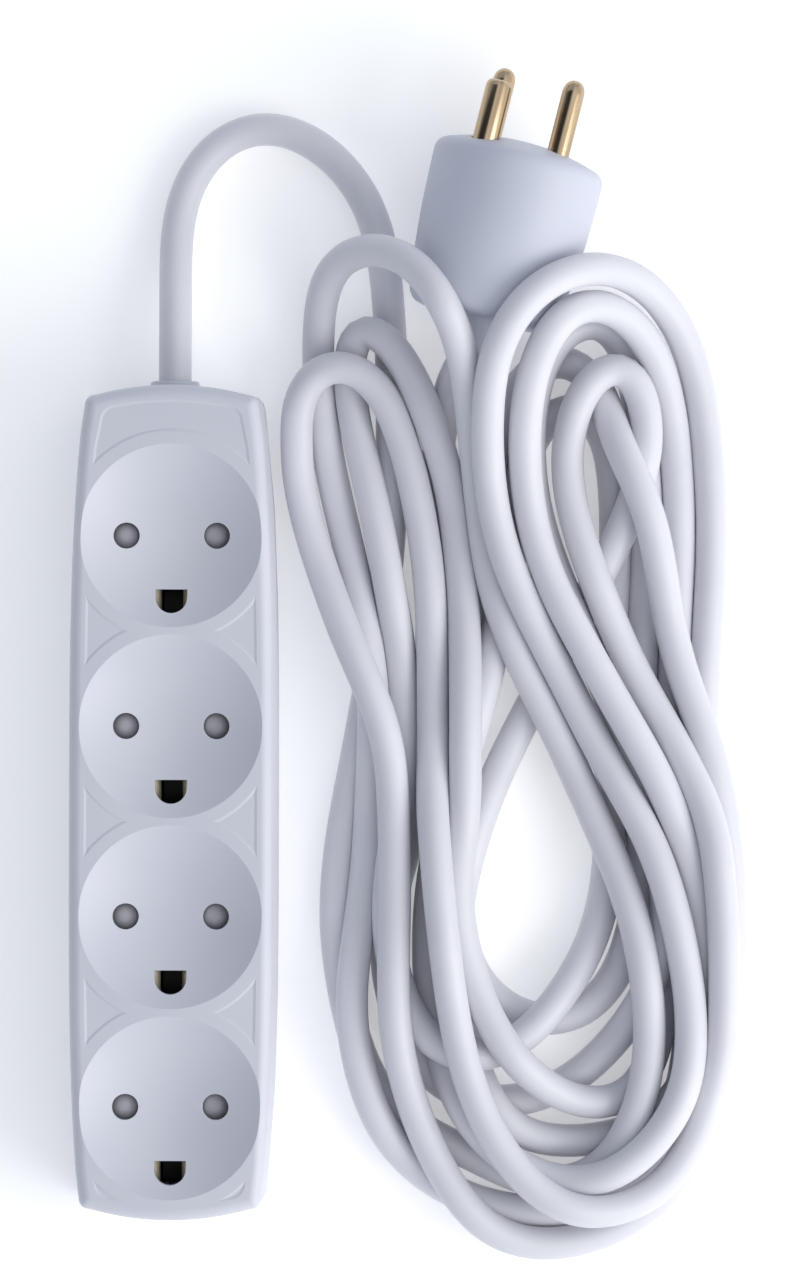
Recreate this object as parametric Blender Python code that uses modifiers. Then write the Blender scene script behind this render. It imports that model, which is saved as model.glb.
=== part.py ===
"""A four-way extension lead with round dished sockets, child shutters and a moulded plug.

The strip lies flat with its underside on z = 0 and its cord entry towards +Y. The cord leaves
it in a loop and lies beside it in long folds, which end at the plug. Sizes are in millimetres.
"""

import math

import bmesh
import bpy
from mathutils import Matrix, Vector

MM = 0.001
GAP = 0.3

STRIP_LENGTH = 177.0
STRIP_WIDTH = 44.4
STRIP_HEIGHT = 34.0
END_TAPER = 3.0
END_BOW = 3.0
CORNER_RADIUS = 3.0
DRAFT = 0.9 / STRIP_HEIGHT
EDGE_RADIUS = 2.5
WALL = 2.2
SPLIT_HEIGHT = 9.0
LIP_HEIGHT = 2.0
LIP_THICKNESS = 1.15

SOCKET_COUNT = 4
SOCKET_PITCH = 40.0
SOCKET_MIDDLE = -4.0
DISH_RADIUS = 19.25
DISH_DEPTH = 5.5
DISH_SPHERE = (DISH_RADIUS**2 + DISH_DEPTH**2) / (2 * DISH_DEPTH)
RING_RADIUS = 22.4
FIELD_DEPTH = 0.5
PIN_OFFSET = 9.5
PIN_RADIUS = 2.4
PIN_HOLE_RADIUS = 2.75
EARTH_OFFSET = 13.8
EARTH_SLOT_FLAT = 11.3
EARTH_SLOT_HALF_WIDTH = 3.35
EARTH_SLOT_LENGTH = 5.0

TRAY_FLOOR = 20.2
SHUTTER_FLOOR = 22.6
BUSBAR_FLOOR = 6.3
BUSBAR_THICKNESS = 0.8

CORD_RADIUS = 3.5
CORD_HEIGHT = 11.0
CORD_INNER_END = 72.0
WIRE_RADIUS = 1.2
BUSH_RADIUS = 5.2
CLAMP_Y = 78.0
CLAMP_SCREW_X = 7.0
CASE_SCREWS = [(16.0, 36.0), (-16.0, 36.0), (16.0, -44.0), (-16.0, -44.0)]

PLUG_REAR = (64.8, 102.4, 18.4)
PLUG_HEADING = math.radians(14.0)
PLUG_ROLL = math.radians(38.5)
PLUG_REAR_RADIUS = 16.4
PLUG_WAIST_RADIUS = 17.9
PLUG_WAIST_Z = 20.0
PLUG_RIM_RADIUS = 18.3
PLUG_RIM_Z = 33.4
PLUG_APEX = 38.4
PLUG_SPHERE = 50.0
PLUG_WALL = 2.5
PIN_TIP = 53.2
EARTH_PIN_TIP = 49.0
EARTH_PIN_HALF_WIDTH = 2.75
SLEEVE_REAR = -7.0
SLEEVE_FRONT = 12.0

HANK_HEIGHT = 40.0
HANK_EDGE = 3.0

WHITE = (0.80, 0.82, 0.88, 1.0)
CORD_WHITE = (0.78, 0.80, 0.86, 1.0)
GREY = (0.33, 0.34, 0.37, 1.0)
BRASS = (0.75, 0.58, 0.28, 1.0)
STEEL = (0.55, 0.56, 0.58, 1.0)
BROWN = (0.20, 0.10, 0.05, 1.0)
BLUE = (0.05, 0.15, 0.50, 1.0)
GREEN_YELLOW = (0.35, 0.50, 0.08, 1.0)

SOCKET_YS = [
    SOCKET_MIDDLE + SOCKET_PITCH * ((SOCKET_COUNT - 1) / 2 - number)
    for number in range(SOCKET_COUNT)
]

# The cord's free run, from inside the strip, out through the bush and round to the folds.
LEAD_ROUTE = [
    (0, 72, 11), (0, 80, 11), (0, 88.4, 11), (0, 97.6, 10.3), (0, 106.2, 8.2), (0, 114, 6.0),
    (0.1, 119, 4.8), (1.2, 127.6, 3.7), (2.9, 131.9, 3.6), (5.6, 136.2, 3.6), (11.6, 141.8, 3.6),
    (19.5, 143.8, 3.6), (28.7, 140.6, 3.6), (34.1, 136.4, 3.6), (37.7, 132.2, 3.6),
    (40.5, 127.9, 3.6), (42.6, 122.6, 3.6),
]

# The edge of the folded cord, seen from above and running anticlockwise.
HANK_OUTLINE = [
    (27, 99), (24, 90), (22, 78), (22, 66), (26, 53), (31, 38), (37, 23), (36, 8), (33, -9),
    (32, -21), (32, -32), (34, -44), (36, -57), (40, -69), (50, -81), (58, -89), (68, -95),
    (77, -97), (88, -95), (101, -88), (109, -80), (115, -69), (117, -57), (118, -42), (121, -27),
    (122, -14), (120, 0), (116, 13), (114, 24), (115, 43), (116, 62), (116, 77), (114, 89),
    (111, 100), (105, 108), (97, 114), (89, 117), (81, 115), (74, 111), (66, 109), (60, 108),
    (56, 113), (50, 119), (42, 121), (35, 118), (30, 112),
]


def clear_scene():
    for obj in list(bpy.data.objects):
        bpy.data.objects.remove(obj, do_unlink=True)


def new_collection(name):
    collection = bpy.data.collections.new(name)
    bpy.context.scene.collection.children.link(collection)
    return collection


clear_scene()
PARTS = new_collection("extension_lead")
CUTTERS = new_collection("cutters")


def as_part(obj, name, colour, roughness=0.45, metallic=0.0):
    """Names a finished piece, gives it a material of its own and puts it among the parts."""
    obj.name = name
    material = bpy.data.materials.new(name)
    material.use_nodes = True
    shader = material.node_tree.nodes["Principled BSDF"]
    shader.inputs["Base Color"].default_value = colour
    shader.inputs["Roughness"].default_value = roughness
    shader.inputs["Metallic"].default_value = metallic
    obj.data.materials.append(material)
    for collection in list(obj.users_collection):
        collection.objects.unlink(obj)
    PARTS.objects.link(obj)
    obj.hide_render = False
    obj.display_type = "TEXTURED"
    return obj


def as_cutter(data, name):
    """Every shape starts as a helper, and as_part turns the finished ones into pieces."""
    obj = bpy.data.objects.new(name, data)
    CUTTERS.objects.link(obj)
    obj.hide_render = True
    obj.display_type = "WIRE"
    return obj


def moved(obj, x=0.0, y=0.0, z=0.0, rotation=(0.0, 0.0, 0.0)):
    obj.location = Vector((x, y, z)) * MM
    obj.rotation_euler = rotation
    return obj


def box(name, low, high):
    bm = bmesh.new()
    size = Vector(high) - Vector(low)
    middle = (Vector(high) + Vector(low)) / 2
    place = Matrix.Translation(middle * MM) @ Matrix.Diagonal((*(size * MM), 1))
    bmesh.ops.create_cube(bm, size=1.0, matrix=place)
    mesh = bpy.data.meshes.new(name)
    bm.to_mesh(mesh)
    bm.free()
    return as_cutter(mesh, name)


def rod(name, radius, low, high, sides=20):
    """A round bar along Z, between two heights."""
    bm = bmesh.new()
    place = Matrix.Translation((0, 0, (low + high) / 2 * MM))
    bmesh.ops.create_cone(
        bm, cap_ends=True, segments=sides, radius1=radius * MM, radius2=radius * MM,
        depth=(high - low) * MM, matrix=place,
    )
    mesh = bpy.data.meshes.new(name)
    bm.to_mesh(mesh)
    bm.free()
    return as_cutter(mesh, name)


def lofted(name, sections):
    """A solid through flat outlines of the same number of points, as (outline, height) pairs."""
    mesh = bpy.data.meshes.new(name)
    count = len(sections[0][0])
    points = [(x * MM, y * MM, z * MM) for outline, z in sections for x, y in outline]
    faces = [tuple(reversed(range(count)))]
    for level in range(len(sections) - 1):
        low, high = level * count, (level + 1) * count
        for i in range(count):
            j = (i + 1) % count
            faces.append((low + i, low + j, high + j, high + i))
    last = (len(sections) - 1) * count
    faces.append(tuple(range(last, last + count)))
    mesh.from_pydata(points, [], faces)
    return as_cutter(mesh, name)


def turned(name, profile, steps=24, ring=False):
    """A turned solid about Z, from (radius, height) points that run down its outer side."""
    mesh = bpy.data.meshes.new(name)
    edges = [(i, i + 1) for i in range(len(profile) - 1)]
    if ring:
        edges.append((len(profile) - 1, 0))
    mesh.from_pydata([(r * MM, 0, z * MM) for r, z in profile], edges, [])
    obj = as_cutter(mesh, name)
    screw = obj.modifiers.new("turn", "SCREW")
    screw.axis = "Z"
    screw.steps = steps
    screw.render_steps = steps
    screw.use_merge_vertices = True
    screw.merge_threshold = 0.00001
    return obj


def wire(name, points, radius, sides_setting=2):
    """A round wire with closed ends through points in millimetres."""
    curve = bpy.data.curves.new(name, "CURVE")
    curve.dimensions = "3D"
    curve.bevel_depth = radius * MM
    curve.bevel_resolution = sides_setting
    curve.use_fill_caps = True
    spline = curve.splines.new("POLY")
    spline.points.add(len(points) - 1)
    for point, (x, y, z) in zip(spline.points, points):
        point.co = (x * MM, y * MM, z * MM, 1.0)
    return as_cutter(curve, name)


def gathered(name, pieces):
    """One mesh of several separate solids, so that one Boolean takes them all."""
    bpy.context.view_layer.update()
    graph = bpy.context.evaluated_depsgraph_get()
    bm = bmesh.new()
    for piece in pieces:
        mesh = bpy.data.meshes.new_from_object(piece.evaluated_get(graph))
        mesh.transform(piece.matrix_world)
        bm.from_mesh(mesh)
        bpy.data.objects.remove(piece, do_unlink=True)
    mesh = bpy.data.meshes.new(name)
    bm.to_mesh(mesh)
    bm.free()
    return as_cutter(mesh, name)


def boolean(obj, other, operation):
    modifier = obj.modifiers.new(f"{operation.lower()}_{other.name}", "BOOLEAN")
    modifier.operation = operation
    modifier.solver = "EXACT"
    modifier.object = other
    return obj


def cut(obj, *cutters):
    for cutter in cutters:
        boolean(obj, cutter, "DIFFERENCE")
    return obj


def joined(obj, *others):
    for other in others:
        boolean(obj, other, "UNION")
    return obj


def smooth_through(points, spacing):
    """Points at about an even spacing along a Catmull-Rom curve through the given ones."""
    stops = [Vector(point) for point in points]
    ends = [2 * stops[0] - stops[1], *stops, 2 * stops[-1] - stops[-2]]
    curve = []
    for a, b, c, d in zip(ends, ends[1:], ends[2:], ends[3:]):
        steps = max(1, round((c - b).length / spacing))
        for step in range(steps):
            t = step / steps
            curve.append(
                0.5 * (2 * b + (c - a) * t + (2 * a - 5 * b + 4 * c - d) * t**2
                       + (3 * b - a - 3 * c + d) * t**3)
            )
    return [*curve, stops[-1]]


def arc(centre, radius, start, end, steps):
    """Points along a circle, from one angle in degrees to another."""
    points = []
    for step in range(steps + 1):
        angle = math.radians(start + (end - start) * step / steps)
        points.append((centre[0] + radius * math.cos(angle), centre[1] + radius * math.sin(angle)))
    return points


def drawn_in(outline, distance):
    """The outline, which runs anticlockwise, moved inwards by a distance."""
    points = [Vector(point) for point in outline]
    result = []
    for before, here, after in zip([points[-1], *points], points, [*points[1:], points[0]]):
        first = (here - before).normalized()
        second = (after - here).normalized()
        inward = Vector((-first.y, first.x)) + Vector((-second.y, second.x))
        result.append(tuple(here + inward * distance / (1 + first.dot(second))))
    return result


def strip_outline(inset):
    """The strip from above: sides that draw in towards the ends, and slightly bowed ends."""
    radius = max(CORNER_RADIUS - inset, 0.8)

    def side(y):
        along = abs(y - SOCKET_MIDDLE) / (STRIP_LENGTH / 2)
        return STRIP_WIDTH / 2 - END_TAPER * along**3.5 - inset

    def end(x):
        return STRIP_LENGTH / 2 - END_BOW * (x / 19) ** 2 - inset

    def corner(sign):
        x = side(sign * (STRIP_LENGTH / 2 - END_BOW)) - radius
        return x, end(x) - radius

    right, top = corner(1)
    left, bottom = corner(-1)
    sides = 8
    outline = []
    for step in range(1, sides):
        y = -bottom + (top + bottom) * step / sides
        outline.append((side(y), y))
    outline += arc((right, top), radius, 0, 90, 3)
    for step in range(1, 6):
        x = right - 2 * right * step / 6
        outline.append((x, end(x)))
    outline += arc((-right, top), radius, 90, 180, 3)
    for step in range(1, sides):
        y = top - (top + bottom) * step / sides
        outline.append((-side(y), y))
    outline += arc((-left, -bottom), radius, 180, 270, 3)
    for step in range(1, 6):
        x = -left + 2 * left * step / 6
        outline.append((x, -end(x)))
    outline += arc((left, -bottom), radius, 270, 360, 3)
    return outline


def strip_stack(name, levels):
    """A solid of the strip's outline, from (inset, height) levels. The draft is added here."""
    return lofted(name, [(strip_outline(inset + DRAFT * max(z, 0)), z) for inset, z in levels])


def half_round(half_width, flat, length, steps=6):
    """A flat-topped outline with a round lower end, centred on x = 0 and facing -Y."""
    centre = flat - length + half_width
    return [(half_width, flat), (-half_width, flat),
            *arc((0, centre), half_width, 180, 360, steps)]


def dish(name, rim_radius, sphere, steps, rings, top):
    """A lens whose lower side is a ball's surface, coaxial with Z, for a socket's dish."""
    middle = STRIP_HEIGHT - DISH_DEPTH + DISH_SPHERE
    profile = [(0, top), (rim_radius, top)]
    for ring in range(rings + 1):
        radius = rim_radius * (1 - ring / rings)
        profile.append((radius, middle - math.sqrt(sphere**2 - radius**2)))
    return turned(name, profile, steps)


def top_cover():
    """The upper shell: four dishes with pin holes and earth slots, and four screw posts."""
    levels = [(0, SPLIT_HEIGHT + GAP)]
    for angle in (0, 30, 60, 90):
        turn = math.radians(angle)
        levels.append((EDGE_RADIUS * (1 - math.cos(turn)),
                       STRIP_HEIGHT - EDGE_RADIUS * (1 - math.sin(turn))))
    cover = strip_stack("top_cover_outer", levels)
    roof = STRIP_HEIGHT - WALL
    cavity = strip_stack("top_cavity", [(WALL, 7.5), (WALL, roof - 1.2), (WALL + 1.2, roof)])
    skins = [
        moved(dish(f"skin_{y:g}", DISH_RADIUS + 0.6, DISH_SPHERE + 2, 20, 3, STRIP_HEIGHT + 2),
              y=y)
        for y in SOCKET_YS
    ]
    post_foot = SPLIT_HEIGHT + LIP_HEIGHT + GAP
    posts = [moved(rod("post", 3.2, post_foot, 33, 16), x, y) for x, y in CASE_SCREWS]
    cut(cavity, gathered("skins", skins), gathered("posts", posts))
    dishes = [
        moved(dish(f"dish_{y:g}", DISH_RADIUS, DISH_SPHERE, 36, 4, STRIP_HEIGHT + 3), y=y)
        for y in SOCKET_YS
    ]
    holes = []
    for y in SOCKET_YS:
        for x in (-PIN_OFFSET, PIN_OFFSET):
            holes.append(moved(rod("pin_hole", PIN_HOLE_RADIUS, 24, 36, 16), x, y))
        slot = half_round(EARTH_SLOT_HALF_WIDTH, -EARTH_SLOT_FLAT, EARTH_SLOT_LENGTH)
        holes.append(moved(lofted("slot", [(slot, 24), (slot, 36)]), y=y))
    holes += [moved(rod("pilot", 1.6, 7, 24, 12), x, y) for x, y in CASE_SCREWS]
    field = strip_stack("fields", [(2.6, STRIP_HEIGHT - FIELD_DEPTH), (2.6, STRIP_HEIGHT + 1)])
    for y in SOCKET_YS:
        cut(field, moved(rod(f"ring_{y:g}", RING_RADIUS, 30, 38, 40), y=y))
    cut(cover, cavity, gathered("dishes", dishes), gathered("holes", holes), field, entry_notch())
    return as_part(cover, "top_cover", WHITE)


def entry_notch():
    notch = rod("entry_notch", BUSH_RADIUS + GAP, -8, 8, 20)
    return moved(notch, y=STRIP_LENGTH / 2, z=CORD_HEIGHT, rotation=(math.pi / 2, 0, 0))


def bottom_cover():
    """The lower tray: a locating lip, screw bosses, ribs under the busbars and tray pillars."""
    cover = strip_stack("bottom_outer", [(1.0, 0), (0.3, 0.3), (0, 1.0), (0, SPLIT_HEIGHT)])
    outer_lip = WALL + GAP
    lip_top = SPLIT_HEIGHT + LIP_HEIGHT
    joined(cover, strip_stack("lip", [(outer_lip, SPLIT_HEIGHT - 0.8), (outer_lip, lip_top)]))
    inner_lip = outer_lip + LIP_THICKNESS
    cavity = strip_stack("bottom_cavity", [
        (WALL, WALL), (WALL, SPLIT_HEIGHT - 1.4), (inner_lip, SPLIT_HEIGHT - 1.4),
        (inner_lip, lip_top + 1),
    ])
    rib_top = BUSBAR_FLOOR - GAP
    boss_top = lip_top - 0.2
    boss = [(0, boss_top), (3.0, boss_top), (3.0, rib_top), (4.2, rib_top), (4.2, 1), (0, 1)]
    bosses = [moved(turned("boss", boss, 16), x, y) for x, y in CASE_SCREWS]
    ribs = [box("rib", (-12.9, y - 0.8, 1), (12.9, y + 0.8, rib_top)) for y in (63, -4, -76)]
    ribs += [box("rib", (-8, y - 0.8, 1), (8, y + 0.8, rib_top)) for y in (36, -44)]
    ribs.append(box("cradle", (-3, 76, 1), (3, 80, CORD_HEIGHT - CORD_RADIUS - GAP)))
    for side in (-1, 1):
        anchor = rod("clamp_boss", 2.8, 1, CORD_HEIGHT + CORD_RADIUS, 16)
        ribs.append(moved(anchor, side * CLAMP_SCREW_X, CLAMP_Y))
        for y in SOCKET_YS:
            inner, outer = sorted((side * 13.6, side * 15.6))
            ribs.append(box("pillar", (inner, y + 6.6, 1), (outer, y + 11.6, TRAY_FLOOR - GAP)))
    cut(cavity, gathered("bosses", bosses), gathered("ribs", ribs))
    holes = [
        moved(turned("screw_hole", [(0, 12), (1.75, 12), (1.75, 3.1), (3.1, 3.1), (3.1, -1),
                                    (0, -1)], 16), x, y)
        for x, y in CASE_SCREWS
    ]
    for side in (-1, 1):
        holes.append(moved(rod("clamp_pilot", 1.5, 5, 16, 12), side * CLAMP_SCREW_X, CLAMP_Y))
    seat = rod("flange_seat", 6.9, -2.6, 2.6, 20)
    moved(seat, y=83.6, z=CORD_HEIGHT, rotation=(math.pi / 2, 0, 0))
    cut(cover, cavity, entry_notch(), seat, gathered("screw_holes", holes))
    return as_part(cover, "bottom_cover", WHITE)


def case_screw(number, x, y):
    """A pan-head screw that comes up from below into a post of the top cover."""
    profile = [(0, 22), (1.0, 21), (1.3, 20), (1.3, 2.8), (2.8, 2.8), (2.8, 1.4), (2.2, 0.8),
               (0, 0.8)]
    screw = turned(f"case_screw_{number}", profile, 14)
    cross = [(2.6, 0.35), (0.35, 0.35), (0.35, 2.6), (-0.35, 2.6), (-0.35, 0.35), (-2.6, 0.35),
             (-2.6, -0.35), (-0.35, -0.35), (-0.35, -2.6), (0.35, -2.6), (0.35, -0.35),
             (2.6, -0.35)]
    recess = [(px * 0.6, py * 0.6) for px, py in cross]
    cut(screw, moved(lofted("recess", [(recess, 0), (recess, 1.9)]), x, y))
    return as_part(moved(screw, x, y), f"case_screw_{number}", STEEL, 0.35, 1.0)


def shutter(number, y):
    """A slider with a pad under each pin hole. Pins push the pads and it slides to +Y."""
    half_x, half_y, round_off = 13.5, 4.0, 1.5
    outline = []
    for centre_x, centre_y, start in (
        (half_x, half_y, 0), (-half_x, half_y, 90), (-half_x, -half_y, 180), (half_x, -half_y, 270),
    ):
        inner = (math.copysign(half_x - round_off, centre_x),
                 math.copysign(half_y - round_off, centre_y))
        outline += arc(inner, round_off, start, start + 90, 2)
    slider = lofted("slider", [(outline, SHUTTER_FLOOR), (outline, 24.6)])
    pads = []
    for x in (-PIN_OFFSET, PIN_OFFSET):
        pad = [(0, 27.3), (1.4, 27.1), (2.6, 26.5), (3.4, 25.6), (3.6, 23.6), (0, 23.6)]
        pads.append(moved(turned("pad", pad, 16), x))
    joined(slider, gathered("pads", pads))
    for modifier in slider.modifiers:
        modifier.object.location.y = y * MM
    return as_part(moved(slider, y=y), f"shutter_{number}", GREY)


def shutter_spring(number, y):
    """A coil spring along Y, between the slider's edge and the tray's end wall."""
    coil_radius, wire_radius, turns, per_turn = 1.2, 0.25, 4, 8
    start, end = 4.0 + GAP + wire_radius, 12.6 - GAP - wire_radius
    points = []
    for step in range(turns * per_turn + 1):
        angle = math.tau * step / per_turn
        points.append((coil_radius * math.cos(angle), start + (end - start) * step / turns / per_turn,
                       SHUTTER_FLOOR + 1.6 + coil_radius * math.sin(angle)))
    spring = wire(f"shutter_spring_{number}", points, wire_radius, 1)
    return as_part(moved(spring, y=y), f"shutter_spring_{number}", STEEL, 0.3, 1.0)


def shutter_tray(number, y):
    """The plate that a shutter slides on, with side walls up to the dish and an end wall."""
    plate = box("tray_plate", (-15.2, -5.5, TRAY_FLOOR), (15.2, 13.8, SHUTTER_FLOOR - 0.4))
    walls = [
        box("tray_wall", (-15.1, -5.4, 21), (-14.0, 13.7, 28.8)),
        box("tray_wall", (14.0, -5.4, 21), (15.1, 13.7, 28.8)),
        box("tray_end", (-6, 12.6, 21), (6, 13.6, 25.8)),
    ]
    holes = [moved(rod("tray_hole", 3.1, 18, 24, 14), x) for x in (-PIN_OFFSET, PIN_OFFSET)]
    rails, openings = gathered("tray_walls", walls), gathered("tray_holes", holes)
    cut(joined(plate, rails), openings)
    for obj in (rails, openings):
        moved(obj, y=y)
    return as_part(moved(plate, y=y), f"shutter_tray_{number}", GREY)


def leaf(x, y, side, inner, half_length):
    """One contact leaf of sheet brass, from its (offset, height) line, standing along Z."""
    outer = [(offset + BUSBAR_THICKNESS, z) for offset, z in reversed(inner)]
    outline = [(side * offset, z) for offset, z in [*inner, *outer]]
    if side > 0:
        outline.reverse()
    sheet = lofted("leaf", [(outline, -half_length), (outline, half_length)])
    return moved(sheet, x, y, rotation=(math.pi / 2, 0, 0))


def busbar(name, x, low, high, half_width, inner, leaf_ys):
    """A stamped brass strip with a pair of sprung leaves at each socket."""
    top = BUSBAR_FLOOR + BUSBAR_THICKNESS
    bar = box(f"{name}_bar", (x - half_width, low, BUSBAR_FLOOR), (x + half_width, high, top))
    leaves = [leaf(x, y, side, inner, 2.6) for y in leaf_ys for side in (-1, 1)]
    joined(bar, gathered(f"{name}_leaves", leaves))
    return as_part(bar, name, BRASS, 0.3, 1.0)


def busbars():
    line = [(2.3, 6.6), (2.9, 10), (2.3, 14.5), (2.5, 16), (3.2, 18.5)]
    earth_line = [(2.3, 6.6), (2.9, 14), (2.25, 23.5), (2.4, 25.5), (3.0, 27.5)]
    busbar("live_busbar", -PIN_OFFSET, -68, 66, 3.2, line, SOCKET_YS)
    busbar("neutral_busbar", PIN_OFFSET, -68, 66, 3.2, line, SOCKET_YS)
    earth_ys = [y - EARTH_OFFSET for y in SOCKET_YS]
    busbar("earth_busbar", 0, -81.5, 66, 3.2, earth_line, earth_ys)


def strip_wires():
    """The three cores, from the end of the cord's sheath to the ends of the busbars."""
    above = BUSBAR_FLOOR + BUSBAR_THICKNESS + GAP + WIRE_RADIUS
    for name, side, colour in (("live", -1, BROWN), ("neutral", 1, BLUE)):
        route = [(side * 1.6, CORD_INNER_END - GAP, 11.6), (side * 1.6, 70.8, 11.6),
                 (side * 5.4, 68.2, 10.2), (side * 8.8, 66.4, 9.0), (side * PIN_OFFSET, 64.5, above),
                 (side * PIN_OFFSET, 60.6, above)]
        core = wire(f"strip_{name}_wire", smooth_through(route, 1.6), WIRE_RADIUS)
        as_part(core, f"strip_{name}_wire", colour, 0.5)
    route = [(0, CORD_INNER_END - GAP, 9.2), (0, 70.8, 9.2), (0, 68, above), (0, 60.6, above)]
    core = wire("strip_earth_wire", smooth_through(route, 1.6), WIRE_RADIUS)
    as_part(core, "strip_earth_wire", GREEN_YELLOW, 0.5)


def cord_bush():
    """The collar that the cord leaves through, held by a flange behind the end wall."""
    bore = CORD_RADIUS + GAP
    front = STRIP_LENGTH / 2 + 0.6
    profile = [(bore + 0.3, front), (BUSH_RADIUS - 0.4, front), (BUSH_RADIUS, front - 0.4),
               (BUSH_RADIUS, 85.4), (6.5, 85.4), (6.5, 83.4), (BUSH_RADIUS, 83.4),
               (BUSH_RADIUS, 81.2), (bore, 81.2), (bore, front - 0.4)]
    bush = turned("cord_bush", profile, 20, ring=True)
    bush.rotation_euler = (-math.pi / 2, 0, 0)
    bush.location.z = CORD_HEIGHT * MM
    return as_part(bush, "cord_bush", WHITE)


def cord_anchorage():
    """A bar across the cord, held down by two screws into bosses of the bottom cover."""
    low = CORD_HEIGHT + CORD_RADIUS + GAP
    bar = box("clamp_bar", (-10, CLAMP_Y - 2.5, low), (10, CLAMP_Y + 2.5, low + 2.6))
    holes = [moved(rod("clamp_hole", 1.5, 10, 22, 14), x, CLAMP_Y)
             for x in (-CLAMP_SCREW_X, CLAMP_SCREW_X)]
    as_part(cut(bar, gathered("clamp_holes", holes)), "cord_clamp", WHITE)
    top = low + 2.6 + GAP
    for number, x in enumerate((-CLAMP_SCREW_X, CLAMP_SCREW_X), 1):
        profile = [(0, top + 1.7), (1.6, top + 1.5), (2.4, top + 0.8), (2.4, top), (1.2, top),
                   (1.2, 8.6), (0.6, 7.6), (0, 7.6)]
        name = f"clamp_screw_{number}"
        as_part(moved(turned(name, profile, 14), x, CLAMP_Y), name, STEEL, 0.35, 1.0)


def cord_lead():
    """The free run of the cord, from inside the strip to the edge of the folds."""
    points = smooth_through(LEAD_ROUTE, 8.0)
    return as_part(wire("cord_lead", points, CORD_RADIUS, 3), "cord_lead", CORD_WHITE)


def plug_frame():
    """An empty at the middle of the plug's rear. Its Z runs to the pins, its X along them."""
    heading = Vector((math.sin(PLUG_HEADING), math.cos(PLUG_HEADING), 0))
    right = Vector((math.cos(PLUG_HEADING), -math.sin(PLUG_HEADING), 0))
    up = Vector((0, 0, 1))
    across = right * math.cos(PLUG_ROLL) + up * math.sin(PLUG_ROLL)
    back = heading.cross(across)
    frame = bpy.data.objects.new("plug_frame", None)
    PARTS.objects.link(frame)
    turn = Matrix((across, back, heading)).transposed()
    frame.location = Vector(PLUG_REAR) * MM
    frame.rotation_euler = turn.to_euler()
    return frame


def plug_envelope(margin):
    """A cutter a little larger than the plug and its sleeve, for the folds around them."""
    grown = PLUG_RIM_RADIUS + margin
    sleeve = 5.0 + margin
    profile = [(0, 60), (grown, 60), (grown, PLUG_WAIST_Z), (PLUG_REAR_RADIUS + margin, 2),
               (PLUG_REAR_RADIUS + margin - 2, -margin), (sleeve, -margin),
               (sleeve, SLEEVE_REAR - margin), (0, SLEEVE_REAR - margin)]
    return turned("plug_envelope", profile, 40)


def cord_hank(frame):
    """The folded cord as one plain solid, cut clear of the plug that lies in it."""
    inner = drawn_in(HANK_OUTLINE, HANK_EDGE)
    hank = lofted("hank", [(inner, 0), (HANK_OUTLINE, HANK_EDGE),
                           (HANK_OUTLINE, HANK_HEIGHT - HANK_EDGE), (inner, HANK_HEIGHT)])
    envelope = plug_envelope(0.5)
    envelope.parent = frame
    cut(hank, envelope)
    return as_part(hank, "cord_hank", CORD_WHITE)


def plug_shell():
    """The profile of the plug's moulded body, down its outer side and back up its inside."""
    profile = []
    for radius in (0, 5, 10, 14, 16.4):
        sag = PLUG_SPHERE - math.sqrt(PLUG_SPHERE**2 - radius**2)
        profile.append((radius, PLUG_APEX - sag))
    profile += [(17.7, 34.8), (PLUG_RIM_RADIUS, PLUG_RIM_Z), (PLUG_WAIST_RADIUS, PLUG_WAIST_Z)]
    profile += [(PLUG_REAR_RADIUS, 4.2), (15.9, 2.2), (14.8, 0.7), (13.2, 0)]
    profile += [(5.3, 0), (5.3, 2.8), (PLUG_REAR_RADIUS - PLUG_WALL, 2.8)]
    profile += [(PLUG_WAIST_RADIUS - PLUG_WALL, PLUG_WAIST_Z), (PLUG_RIM_RADIUS - PLUG_WALL, 30)]
    profile += [(12.5, 32.5), (0, 33.5)]
    return profile


def d_pin_outline(margin):
    return half_round(EARTH_PIN_HALF_WIDTH + margin, -EARTH_OFFSET + 2.0 + margin,
                      4.0 + 2 * margin, 8)


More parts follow.
